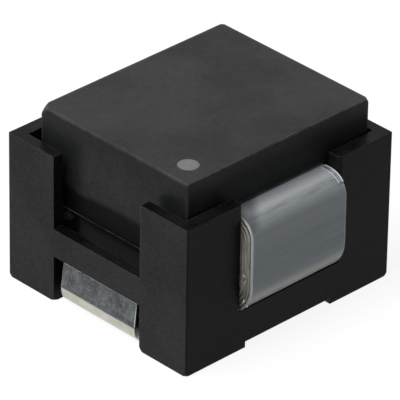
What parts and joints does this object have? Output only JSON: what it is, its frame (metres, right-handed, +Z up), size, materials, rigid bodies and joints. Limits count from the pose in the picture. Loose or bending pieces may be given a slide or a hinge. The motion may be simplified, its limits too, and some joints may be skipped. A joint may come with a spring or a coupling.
{
  "type": "shielded smd inductor",
  "caption": "Surface-mount power inductor: film-wrapped foil roll in a closed ferrite block, seated in a moulded header with strip terminals bent under each end.",
  "frame": {"origin": "middle of the footprint, at board level", "axes": "+X from the start terminal to the finish terminal, +Y from the front window to the rear window, +Z up off the board"},
  "size_m": [0.0138, 0.0138, 0.0099],
  "materials": {
    "header_plastic": "black moulded thermoset, fine satin grain",
    "ferrite": "pressed and ground ferrite, dark grey, matt",
    "tube_film": "amber insulating film, folded into a tube",
    "copper_foil": "soft copper foil, bright",
    "interleaf_film": "thin clear polyester film between turns, hazy at its edges",
    "wrap_film": "clear polyester wrap, hazy, soft gloss",
    "tinned_strip": "tin-plated copper strip, soft rolled sheen",
    "solder": "tin solder, smooth fillet",
    "gap_spacer": "insulating gap sheet",
    "core_bond": "cured epoxy line",
    "adhesive": "black cured adhesive, dull bead"
  },
  "bodies": {
    "root": {"centre_core": "ferrite", "finish_core_bond": "core_bond", "finish_front_adhesive_bead": "adhesive", "finish_gap_spacer": "gap_spacer", "finish_rear_adhesive_bead": "adhesive", "finish_solder": "solder", "finish_terminal": "tinned_strip", "foil_winding": "copper_foil", "header": "header_plastic", "interleaf_film": "interleaf_film", "lower_core": "ferrite", "outer_wrap": "wrap_film", "start_core_bond": "core_bond", "start_front_adhesive_bead": "adhesive", "start_gap_spacer": "gap_spacer", "start_lead": "tinned_strip", "start_rear_adhesive_bead": "adhesive", "start_solder": "solder", "start_terminal": "tinned_strip", "upper_core": "ferrite", "winding_tube": "tube_film"}
  },
  "joints": []
}
